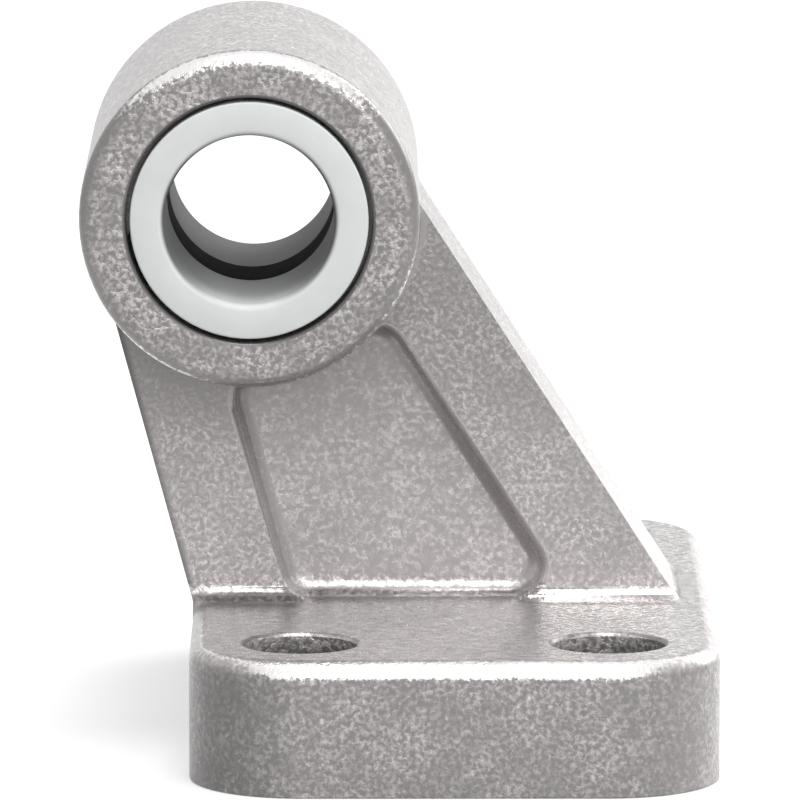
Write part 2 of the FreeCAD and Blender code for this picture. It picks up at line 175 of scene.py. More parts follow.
FADES = {
    "eye to web": (10.05, 10.2, 1.0, 0.0),
    # Fewer specks in a belt round the eye: painted shade under its barrel
    "shelter of the eye": (10.5, 15.0, 0.1, 1.0),
    "eye rim": (8.8, 9.5, 1.0, 0.7),
    # Painted light paler towards the web's root, then painted shade on the foot's sides
    "root to eye": (9.0, 26.0, 1.32, 0.83),
    "foot side to top": (7.0, 7.6, 0.65, 1.0),
    # Painted shade down the web's left edge
    "left line": (-0.25, 0.25, 0.54, 0.0),
    "left line's corner": (4.6, 5.1, 0.0, 1.0),
    "left line's low end": (8.4, 8.8, 0.0, 1.0),
    "left line's high end": (24.5, 25.5, 1.0, 0.0),
    # Painted light towards the left end of the foot's top
    "left end of the foot": (-16.0, -4.0, 0.09, 0.0),
    # Where the painted highlight on the right root lies
    "right root": (4.0, 5.0, 0.0, 1.0),
    "right root's corner": (4.4, 4.9, 0.0, 1.0),
    # Painted highlight on the eye's crown, and the painted reflection line along its brim
    "crown": (36.5, 42.0, 0.0, 1.0),
    "brim beside the axis": (0.5, 4.0, 0.05, 0.55),
    "brim below": (25.5, 29.5, 1.0, 0.0),
}

# Bands of the casting's finish: start, full, fade and end in millimetres. Along the foot's edge,
# the root and the eye's crown they carry wear with a painted highlight, along the eye's brim a
# painted reflection line, and under the root a painted shade

BANDS = {
    "foot top": (7.8, 7.95, 8.05, 8.2),
    "foot edge": (6.7, 7.45, 7.85, 8.02),
    # Painted shade in the crease at the foot of the root fillets
    "foul root": (8.02, 8.1, 8.3, 8.42),
    "root": (8.3, 8.6, 8.75, 9.4),
    "crown": (8.95, 9.7, 9.85, 10.05),
    "brim": (9.6, 9.95, 10.02, 10.1),
}

# How a noise or a strength is spread: from and to, then the result at each

SPREADS = {
    "patches": (0.36, 0.60, 0.55, 1.0),
    "specks": (0.37, 0.72, 0.0, 1.0),
    "streaks": (0.3, 0.7, -0.25, 0.25),
    # Specks breaking up the painted shade in the root's crease
    "foul specks": (0.38, 0.62, 0.5, 0.1),
    # How wear and its painted highlight spread over the roundings
    "rubbing_and_highlight": (0.20, 0.75, 0.0, 1.0),
    "fullest rubbing": (0.3, 0.9, 0.5, 1.0),
    "cast gloss": (0.35, 0.65, 0.32, 0.26),
    "start of bumps": (0.02, 0.3, 0.0, 1.0),
    "fullest bumps": (0.5, 0.9, 0.4, 1.0),
    "bush cloud": (0.3, 0.7, 0.975, 1.015),
    "bush gloss": (0.3, 0.7, 0.52, 0.6),
    "ring cloud": (0.3, 0.7, 0.9, 1.1),
    "ring gloss": (0.3, 0.7, 0.85, 0.95),
}

# Other numbers of the casting's finish; scales are shares of the specks' own

PATCH_SCALE, STREAK_SCALE = 0.14, 0.4
STREAK_STRETCH = (0.8, 1.4, 1.0)
# The first narrows the painted shade round the eye on its right side; the second slants the
# painted reflection line along the eye's brim
SHADE_BELT_ASIDE, BRIM_SLANT = 0.35, 0.25
# The first waves the painted shade down the web's left edge; the second lowers the painted
# highlight on the right root
LEFT_LINE_WAVE, RIGHT_ROOT_DROP = 0.5 * MM, 0.42 * MM
RAGGEDNESS, MIDDLE_OF_NOISE = 1.6, 0.5
WORN_ROUGHNESS = 0.2

# Painted shade in the bushes' bore, darker towards the rear, at its sides and on its upper half,
# in metres; and the moulded skins, in clouds for one metre

BORE_SHADE_DEPTH = (FRONT_LOW.y, 0.35 * REAR_HIGH.y, 0.87, 0.17)
BORE_EDGE = (BORE_RADIUS + 0.02 * MM, BORE_RADIUS + 0.3 * MM, 1.0, 0.0)
BORE_SHADE_ASIDE = (0.2 * BORE_RADIUS, BORE_RADIUS, 1.15, 0.2)
BORE_SHADE_ABOVE = (EYE_CENTRE.z, EYE_CENTRE.z + 0.5 * BORE_RADIUS, 1.0, 0.5)
BUSH_CLOUDS, BUSH_GRAINS, RING_CLOUDS = 450.0, 9000.0, 700.0
BUSH_SHINE, RING_SHINE = 0.3, 0.08
BUSH_BUMP, BUSH_BUMP_HEIGHT = 0.1, 0.004 * MM

# Sockets of a Mix node: first, second and result

MIX_SOCKETS = {"RGBA": (6, 7, 2), "FLOAT": (2, 3, 0)}

# Stage, in metres: each soft box with the property of its power, its width and its place

SOFT_BOXES = (
    ("top_box", "top_light", 0.20, (0.03, -0.12, 0.52)),
    ("side_box", "side_light", 0.40, (0.45, 0.45, 0.30)),
    ("front_box", "front_light", 0.50, (0.12, -0.70, 0.36)),
)
BOX_TARGET = Vector((0.0, 0.0, 0.02))
FLOOR_RADIUS, FLOOR_GLOW = 1.6, 0.5
ROOM_TURN = (-0.5, 0.8)
NEAREST, FARTHEST = 0.01, 10.0
SENSOR_WIDTH = 36.0
WHITE = (1.0, 1.0, 1.0, 1.0)


# Sizes, colours and lights that a user would change


class ClevisShape(bpy.types.PropertyGroup):
    mouth_rounding: bpy.props.FloatProperty(
        name="Bush mouth",
        description="Rounding of the bush's bore at its outer end",
        default=0.4 * MM, min=0.0, precision=5, unit="LENGTH",
    )
    rim_rounding: bpy.props.FloatProperty(
        name="Bush rim",
        description="Rounding of the bush's outside at its outer end",
        default=0.12 * MM, min=0.0, precision=5, unit="LENGTH",
    )
    recess_rounding: bpy.props.FloatProperty(
        name="Recess mouths",
        description="Rounding of the edges where the web's faces break into the recesses",
        default=0.4 * MM, min=0.0, precision=5, unit="LENGTH",
    )
    web_rounding: bpy.props.FloatProperty(
        name="Web edges",
        description="Rounding of the web's outer edges",
        default=0.12 * MM, min=0.0, precision=5, unit="LENGTH",
    )
    rim_easing: bpy.props.FloatProperty(
        name="Hole and relief rims",
        description=(
            "Softening of the chamfers at the bolt holes and at the relief round each bush"),
        default=0.05 * MM, min=0.0, precision=5, unit="LENGTH",
    )
    foot_easing: bpy.props.FloatProperty(
        name="Foot underside edge",
        description="Softening of the edge round the underside of the foot",
        default=0.12 * MM, min=0.0, precision=5, unit="LENGTH",
    )


class ClevisFinish(bpy.types.PropertyGroup):
    cast_base: bpy.props.FloatVectorProperty(
        name="Casting",
        description="Blasted aluminium between the bright specks",
        default=(0.305, 0.289, 0.287), min=0.0, max=1.0, subtype="COLOR",
    )
    cast_speck: bpy.props.FloatVectorProperty(
        name="Casting specks",
        description="Bright specks where the blasting left the metal open",
        default=(0.730, 0.692, 0.688), min=0.0, max=1.0, subtype="COLOR",
    )
    # Colour of the roundings' wear, which also carries their painted highlights
    cast_worn_highlight: bpy.props.FloatVectorProperty(
        name="Casting roundings",
        description="Metal rubbed bright on the roundings and fillets",
        default=(0.870, 0.845, 0.840), min=0.0, max=1.0, subtype="COLOR",
    )
    speck_size: bpy.props.FloatProperty(
        name="Speck size",
        description="Width of one speck of the blasted surface",
        default=0.29 * MM, min=0.01 * MM, precision=5, unit="LENGTH",
    )
    pit_depth: bpy.props.FloatProperty(
        name="Pit depth",
        description="Height of the specks over the ground",
        default=0.012 * MM, min=0.0, precision=5, unit="LENGTH",
    )
    rounding_bumps: bpy.props.FloatProperty(
        name="Bumps on roundings",
        description="Height of the uneven skin on roundings and fillets",
        default=0.04 * MM, min=0.0, precision=5, unit="LENGTH",
    )
    # Strength of the painted shade on the recesses' rounded faces, the foot's corners and the bolt
    # holes' chamfers facing right
    painted_shade: bpy.props.FloatProperty(
        name="Shade",
        description=(
            "How much darker the skin is on the recess walls and the foot's upright corners"),
        default=0.5, min=0.0, max=1.0, subtype="FACTOR",
    )
    cast_metal: bpy.props.FloatProperty(
        name="Bare metal",
        description="Share of the casting's skin that shines as bare metal on flat faces",
        default=0.45, min=0.0, max=1.0, subtype="FACTOR",
    )
    worn_metal: bpy.props.FloatProperty(
        name="Bare metal on roundings",
        description=(
            "Share of the casting's skin that shines as bare metal on roundings and fillets"),
        default=0.9, min=0.0, max=1.0, subtype="FACTOR",
    )
    bush: bpy.props.FloatVectorProperty(
        name="Bushes",
        description="Moulded light grey plastic",
        default=(0.875, 0.902, 0.890), min=0.0, max=1.0, subtype="COLOR",
    )
    spacer: bpy.props.FloatVectorProperty(
        name="Ring",
        description="Black ring between the bushes",
        default=(0.012, 0.012, 0.012), min=0.0, max=1.0, subtype="COLOR",
    )


class ClevisStage(bpy.types.PropertyGroup):
    lens: bpy.props.FloatProperty(
        name="Lens",
        description="Focal length of the camera",
        default=455.33, min=1.0, unit="CAMERA",
    )
    camera_place: bpy.props.FloatVectorProperty(
        name="Camera place",
        description="Where the camera stands",
        default=(-0.004922, -0.599732, 0.114724), subtype="TRANSLATION", unit="LENGTH",
    )
    camera_direction: bpy.props.FloatVectorProperty(
        name="Camera direction",
        description="Which way the camera looks",
        default=(0.002958, 0.987576, -0.157112), subtype="DIRECTION",
    )
    surround: bpy.props.FloatProperty(
        name="Surround",
        description="Brightness of the room's lit side as it lights the object",
        default=1.1, min=0.0,
    )
    lit_side: bpy.props.FloatVectorProperty(
        name="Lit side",
        description="Direction of the room's lit side: to the right, behind and above",
        default=(0.577, 0.577, 0.577), subtype="DIRECTION",
    )
    top_light: bpy.props.FloatProperty(
        name="Top light",
        description="Power of the soft box overhead",
        default=0.8, min=0.0, unit="POWER",
    )
    side_light: bpy.props.FloatProperty(
        name="Side light",
        description="Power of the soft box to the right, behind the object",
        default=1.7, min=0.0, unit="POWER",
    )
    front_light: bpy.props.FloatProperty(
        name="Front light",
        description="Power of the soft box above the camera",
        default=2.5, min=0.0, unit="POWER",
    )
    floor: bpy.props.FloatVectorProperty(
        name="Floor",
        description="Pale floor as it is seen",
        default=(0.60, 0.60, 0.60), min=0.0, max=1.0, subtype="COLOR",
    )
    floor_bounce: bpy.props.FloatVectorProperty(
        name="Floor bounce",
        description="Floor as it throws light back on the object",
        default=(0.35, 0.35, 0.35), min=0.0, max=1.0, subtype="COLOR",
    )


# Helpers for modelling


def select_only(piece):
    """Select one object alone and make it active."""
    bpy.ops.object.select_all(action="DESELECT")
    piece.select_set(True)
    bpy.context.view_layer.objects.active = piece


def open_mesh(piece, parts):
    """Enter edit mode with nothing selected, ready to pick VERT, EDGE or FACE."""
    select_only(piece)
    bpy.ops.object.mode_set(mode="EDIT")
    bpy.ops.mesh.select_mode(type=parts)
    bpy.ops.mesh.select_all(action="DESELECT")


def pick(piece, kind, test):
    """Select the edges or the faces of the piece in edit mode that pass a test."""
    shape = bmesh.from_edit_mesh(piece.data)
    found = 0
    for part in getattr(shape, kind):
        if test(part):
            part.select_set(True)
            found += 1
    bmesh.update_edit_mesh(piece.data)
    if not found:
        raise RuntimeError(f"{piece.name} has no such {kind}")


def close_mesh():
    bpy.ops.object.mode_set(mode="OBJECT")


def finish_shading(piece, degrees):
    """Smooth the rounded faces and keep the flat ones flat."""
    select_only(piece)
    bpy.ops.object.shade_smooth_by_angle(angle=math.radians(degrees))
    bpy.ops.object.modifier_add(type="WEIGHTED_NORMAL")
    weighted = piece.modifiers[-1]
    weighted.keep_sharp = True
    bpy.ops.object.modifier_apply(modifier=weighted.name)


def from_eye(point):
    """Distance from the axis of the eye."""
    return math.hypot(point.x - EYE_CENTRE.x, point.z - EYE_CENTRE.z)


def ramp(value, low, high, to_low, to_high):
    """Spread one range of numbers over another, straight and held at both ends."""
    share = min(1.0, max(0.0, (value - low) / (high - low)))
    return to_low + share * (to_high - to_low)


# Helpers for finishes


def new_finish(name):
    """An empty node tree with one shader for metal or plastic."""
    finish = bpy.data.materials.new(name)
    finish.use_nodes = True
    tree = finish.node_tree
    tree.nodes.clear()
    output = tree.nodes.new("ShaderNodeOutputMaterial")
    shader = tree.nodes.new("ShaderNodeBsdfPrincipled")
    tree.links.new(shader.outputs["BSDF"], output.inputs["Surface"])
    return finish, tree, shader


def place_node(tree, kind, settings=None, **inputs):
    """Add a node, set its options and its unlinked sockets."""
    node = tree.nodes.new(kind)
    for name, value in (settings or {}).items():
        setattr(node, name, value)
    for name, value in inputs.items():
        node.inputs[name.replace("_", " ")].default_value = value
    return node


def math_node(tree, operation, first, second=0.0):
    """A math node fed by sockets or plain numbers, the second nought unless it is given."""
    node = tree.nodes.new("ShaderNodeMath")
    node.operation = operation
    for index, value in enumerate((first, second)):
        if isinstance(value, (int, float)):
            node.inputs[index].default_value = value
        else:
            tree.links.new(value, node.inputs[index])
    return node.outputs[0]


def times_node(tree, first, *others):
    """Multiply sockets or plain numbers, one after the other."""
    product = first
    for value in others:
        product = math_node(tree, "MULTIPLY", product, value)
    return product


def range_node(tree, value, low, high, to_low, to_high):
    """Spread one range of numbers over another, with soft ends."""
    node = tree.nodes.new("ShaderNodeMapRange")
    node.interpolation_type = "SMOOTHSTEP"
    for name, number in (
        ("From Min", low), ("From Max", high), ("To Min", to_low), ("To Max", to_high),
    ):
        node.inputs[name].default_value = number
    tree.links.new(value, node.inputs["Value"])
    return node.outputs["Result"]


def fade_node(tree, value, name):
    """Change softly between the two places of one of the FADES."""
    low, high, to_low, to_high = FADES[name]
    return range_node(tree, value, low * MM, high * MM, to_low, to_high)


def band_node(tree, value, name):
    """One inside one of the BANDS, falling softly to nought at both sides."""
    start, full, fade, end = (edge * MM for edge in BANDS[name])
    rise = range_node(tree, value, start, full, 0.0, 1.0)
    fall = range_node(tree, value, fade, end, 1.0, 0.0)
    return times_node(tree, rise, fall)


def noise_node(tree, where, scale, detail, roughness, distortion=0.0):
    """Soft noise between nought and one, with so many clouds for one metre."""
    node = place_node(
        tree, "ShaderNodeTexNoise",
        Scale=scale, Detail=detail, Roughness=roughness, Distortion=distortion)
    tree.links.new(where, node.inputs["Vector"])
    return node.outputs["Fac"]


def mix_node(tree, factor, first, second, blend="MIX"):
    """Mix two colours, or two numbers; each, and the factor, a socket or a plain value."""
    coloured = any(
        isinstance(value, tuple) or getattr(value, "type", "") == "RGBA"
        for value in (first, second))
    kind = "RGBA" if coloured else "FLOAT"
    node = place_node(tree, "ShaderNodeMix", {"data_type": kind, "blend_type": blend})
    start, end, result = MIX_SOCKETS[kind]
    for index, value in ((0, factor), (start, first), (end, second)):
        if isinstance(value, (tuple, int, float)):
            node.inputs[index].default_value = value
        else:
            tree.links.new(value, node.inputs[index])
    return node.outputs[result]


def tint_node(tree, colour, shade):
    """Multiply a colour by a shade."""
    return mix_node(tree, 1.0, colour, shade, blend="MULTIPLY")


def attribute_node(tree, name):
    node = tree.nodes.new("ShaderNodeAttribute")
    node.attribute_name = name
    return node.outputs["Fac"]


def object_places(tree):
    """Places on the piece in its own coordinates."""
    return tree.nodes.new("ShaderNodeTexCoord").outputs["Object"]


def split_places(tree, where):
    """Places as X, Y and Z."""
    split = tree.nodes.new("ShaderNodeSeparateXYZ")
    tree.links.new(where, split.inputs[0])
    return split.outputs["X"], split.outputs["Y"], split.outputs["Z"]


def vector_node(tree, operation, first, second):
    """A vector math node fed by a socket and a plain vector."""
    node = place_node(tree, "ShaderNodeVectorMath", {"operation": operation})
    tree.links.new(first, node.inputs[0])
    node.inputs[1].default_value = second
    return node


def eye_distance(tree, where):
    """Distance from the axis of the eye, in metres."""
    offset = vector_node(tree, "SUBTRACT", where, EYE_CENTRE)
    flat = vector_node(tree, "MULTIPLY", offset.outputs[0], (1.0, 0.0, 1.0))
    length = place_node(tree, "ShaderNodeVectorMath", {"operation": "LENGTH"})
    tree.links.new(flat.outputs[0], length.inputs[0])
    return length.outputs["Value"]


def add_bump(tree, shader, height, strength, distance):
    """Let a height raise the skin of the shader's surface."""
    bump = place_node(tree, "ShaderNodeBump", Strength=strength, Distance=distance)
    tree.links.new(height, bump.inputs["Height"])
    tree.links.new(bump.outputs["Normal"], shader.inputs["Normal"])


# The casting's finish


def cast_places(tree, look):
    """The sockets from which the casting's finish is worked out."""
    where = object_places(tree)
    along, across, height = split_places(tree, where)
    per_metre = 1.0 / look.speck_size
    off_middle = math_node(tree, "ABSOLUTE", across)
    right_root = times_node(
        tree, fade_node(tree, along, "right root"),
        fade_node(tree, off_middle, "right root's corner"))
    return SimpleNamespace(
        where=where,
        per_metre=per_metre,
        along=along,
        height=height,
        radius=eye_distance(tree, where),
        off_axis=math_node(tree, "SUBTRACT", along, EYE_CENTRE.x),
        off_middle=off_middle,
        right_root=right_root,
        specks=noise_node(
            tree, where, per_metre, detail=2.5, roughness=0.58, distortion=0.35),
        grain=attribute_node(tree, "grain"),
        # Painted light and shade of each face
        paleness=attribute_node(tree, "paleness"),
        rounding=attribute_node(tree, "rounding"),
    )


def speck_amount(tree, at):
    """Specks, thinner in patches and at the eye's rim, and fewer in a belt round the eye, a
    painted shade that is narrower on its right side.
    """
    patches = noise_node(
        tree, at.where, at.per_metre * PATCH_SCALE, detail=2.0, roughness=0.5)
    on_eye = times_node(
        tree, fade_node(tree, at.radius, "eye to web"), fade_node(tree, at.radius, "eye rim"))
    aside = math_node(tree, "MAXIMUM", times_node(tree, at.off_axis, SHADE_BELT_ASIDE))
    reach = math_node(tree, "ADD", at.radius, aside)
    belt = math_node(tree, "MAXIMUM", on_eye, fade_node(tree, reach, "shelter of the eye"))
    dense = range_node(tree, patches, *SPREADS["patches"])
    bright = range_node(tree, at.specks, *SPREADS["specks"])
    return times_node(tree, bright, times_node(tree, dense, belt, at.grain))


def left_edge_shade(tree, at):
    """Painted shade: a dark wavy line down the web's left edge."""
    slant = vector_node(tree, "DOT_PRODUCT", at.where, LEFT_FLANK)
    inside = math_node(tree, "SUBTRACT", slant.outputs["Value"], LEFT_FLANK.dot(LEFT_FOOT))
    wave = times_node(tree, at.specks, LEFT_LINE_WAVE)
    ends = times_node(
        tree, fade_node(tree, at.height, "left line's low end"),
        fade_node(tree, at.height, "left line's high end"))
    return times_node(
        tree, fade_node(tree, math_node(tree, "SUBTRACT", inside, wave), "left line"),
        fade_node(tree, at.off_middle, "left line's corner"), ends)


def foot_streaks(tree, at):
    """Streaks of the milled top of the foot, with painted light making it paler towards its left
    end.
    """
    stretched = vector_node(tree, "MULTIPLY", at.where, STREAK_STRETCH).outputs[0]
    streaks = noise_node(
        tree, stretched, at.per_metre * STREAK_SCALE, detail=2.0, roughness=0.6)
    streak = math_node(
        tree, "ADD", range_node(tree, streaks, *SPREADS["streaks"]),
        fade_node(tree, at.along, "left end of the foot"))
    return times_node(tree, streak, band_node(tree, at.height, "foot top"))


def ground_shade(tree, at, look):
    """Painted light and shade on the ground: paler towards the web's root and on paler-painted
    faces, darker on the foot's sides, in hollows, in the root's crease and down the web's left
    edge; with the streaks of the foot's top.
    """
    # Painted shade where a face's rounding note is below nought
    painted_dark = times_node(tree, math_node(tree, "MINIMUM", at.rounding), look.painted_shade)
    # Painted shade in the crease under the root fillets, except on the right root
    shadowed = times_node(
        tree, band_node(tree, at.height, "foul root"),
        range_node(tree, at.specks, *SPREADS["foul specks"]),
        math_node(tree, "SUBTRACT", 1.0, at.right_root))
    return times_node(
        tree,
        fade_node(tree, at.height, "root to eye"),
        fade_node(tree, at.height, "foot side to top"),
        at.paleness,
        math_node(tree, "ADD", painted_dark, 1.0),
        math_node(tree, "SUBTRACT", 1.0, left_edge_shade(tree, at)),
        math_node(tree, "ADD", foot_streaks(tree, at), 1.0),
        math_node(tree, "SUBTRACT", 1.0, shadowed))


def rubbed_and_highlit_edges(tree, at):
    """How strongly the root fillet, the foot's top edge and the eye's roundings show wear with a
    painted highlight, with a painted reflection line along the eye's lower brim.
    """
    root_height = math_node(
        tree, "ADD", at.height, times_node(tree, at.right_root, RIGHT_ROOT_DROP))
    on_root = band_node(tree, root_height, "root")
    on_foot = band_node(tree, at.height, "foot edge")
    on_crown = times_node(
        tree, band_node(tree, at.radius, "crown"), fade_node(tree, at.height, "crown"))
    aside = math_node(tree, "ABSOLUTE", at.off_axis)
    low_side = math_node(
        tree, "SUBTRACT", at.height, times_node(tree, at.off_axis, BRIM_SLANT))
    on_brim = times_node(
        tree, band_node(tree, at.radius, "brim"),
        fade_node(tree, aside, "brim beside the axis"),
        fade_node(tree, low_side, "brim below"))
    rubbed_and_highlit = math_node(
        tree, "MAXIMUM", math_node(tree, "MAXIMUM", on_root, on_foot),
        math_node(tree, "MAXIMUM", on_crown, on_brim))
    return times_node(tree, math_node(tree, "MAXIMUM", at.rounding), rubbed_and_highlit)


def cast_aluminium(look):
    """Blasted cast aluminium: bright specks on a calm ground with painted light and shade,
    smoother with wear on the roundings and painted with highlights there.
    """
    finish, tree, shader = new_finish("cast_aluminium")
    at = cast_places(tree, look)
    amount = speck_amount(tree, at)
    edge = rubbed_and_highlit_edges(tree, at)
    grit = math_node(tree, "SUBTRACT", at.specks, MIDDLE_OF_NOISE)
    ragged = math_node(tree, "ADD", edge, times_node(tree, grit, RAGGEDNESS))
    # Wear with a painted highlight: paler colour, more metal and less roughness
    worn_and_highlit = times_node(
        tree, range_node(tree, ragged, *SPREADS["rubbing_and_highlight"]),
        range_node(tree, at.rounding, *SPREADS["fullest rubbing"]))

    skin = mix_node(tree, amount, (*look.cast_base, 1.0), (*look.cast_speck, 1.0))
    ground = tint_node(tree, skin, ground_shade(tree, at, look))
    colour = mix_node(tree, worn_and_highlit, ground, (*look.cast_worn_highlight, 1.0))
    tree.links.new(colour, shader.inputs["Base Color"])
    metal = mix_node(tree, worn_and_highlit, look.cast_metal, look.worn_metal)
    tree.links.new(metal, shader.inputs["Metallic"])
    gloss = range_node(tree, at.specks, *SPREADS["cast gloss"])
    tree.links.new(mix_node(tree, worn_and_highlit, gloss, WORN_ROUGHNESS), shader.inputs["Roughness"])

    relief = times_node(tree, amount, look.pit_depth)
    depth = times_node(
        tree, range_node(tree, edge, *SPREADS["start of bumps"]), look.rounding_bumps,
        range_node(tree, at.rounding, *SPREADS["fullest bumps"]))
    height = math_node(tree, "ADD", relief, times_node(tree, grit, depth))
    add_bump(tree, shader, height, strength=1.0, distance=1.0)
    return finish


# The finishes of the bushes and the ring


def bush_plastic(look):
    """Moulded plastic with a faint cloud and a fine matt skin, with painted shade inside the bore.
    """
    finish, tree, shader = new_finish("bush_plastic")
    where = object_places(tree)
    along, across, height = split_places(tree, where)
    cloud = noise_node(tree, where, BUSH_CLOUDS, detail=3.0, roughness=0.55)
    on_bore = range_node(tree, eye_distance(tree, where), *BORE_EDGE)
    aside = math_node(tree, "ABSOLUTE", math_node(tree, "SUBTRACT", along, EYE_CENTRE.x))
    # Painted shade in the bore: darker towards the rear, at its sides and on its upper half
    shade_round_bore = times_node(
        tree, range_node(tree, aside, *BORE_SHADE_ASIDE), range_node(tree, height, *BORE_SHADE_ABOVE))
    painted_bore_shade = times_node(tree, range_node(tree, across, *BORE_SHADE_DEPTH), shade_round_bore)
    shade = times_node(
        tree, range_node(tree, cloud, *SPREADS["bush cloud"]),
        mix_node(tree, on_bore, 1.0, painted_bore_shade))
    tree.links.new(tint_node(tree, (*look.bush, 1.0), shade), shader.inputs["Base Color"])
    skin = noise_node(tree, where, BUSH_GRAINS, detail=2.0, roughness=0.5)
    gloss = range_node(tree, skin, *SPREADS["bush gloss"])
    tree.links.new(gloss, shader.inputs["Roughness"])
    shader.inputs["Specular IOR Level"].default_value = BUSH_SHINE
    add_bump(tree, shader, skin, strength=BUSH_BUMP, distance=BUSH_BUMP_HEIGHT)
    return finish


def ring_black(look):
    """Black ring with a dull, slightly uneven skin."""
    finish, tree, shader = new_finish("spacer_black")
    where = object_places(tree)
    cloud = noise_node(tree, where, RING_CLOUDS, detail=3.0, roughness=0.6)
    shade = range_node(tree, cloud, *SPREADS["ring cloud"])
    tree.links.new(tint_node(tree, (*look.spacer, 1.0), shade), shader.inputs["Base Color"])
    gloss = range_node(tree, cloud, *SPREADS["ring gloss"])
    tree.links.new(gloss, shader.inputs["Roughness"])
    shader.inputs["Specular IOR Level"].default_value = RING_SHINE
    return finish


def dress(piece, finish):
    """Give a piece one finish all over."""
    piece.data.materials.clear()
    piece.data.materials.append(finish)


# The casting


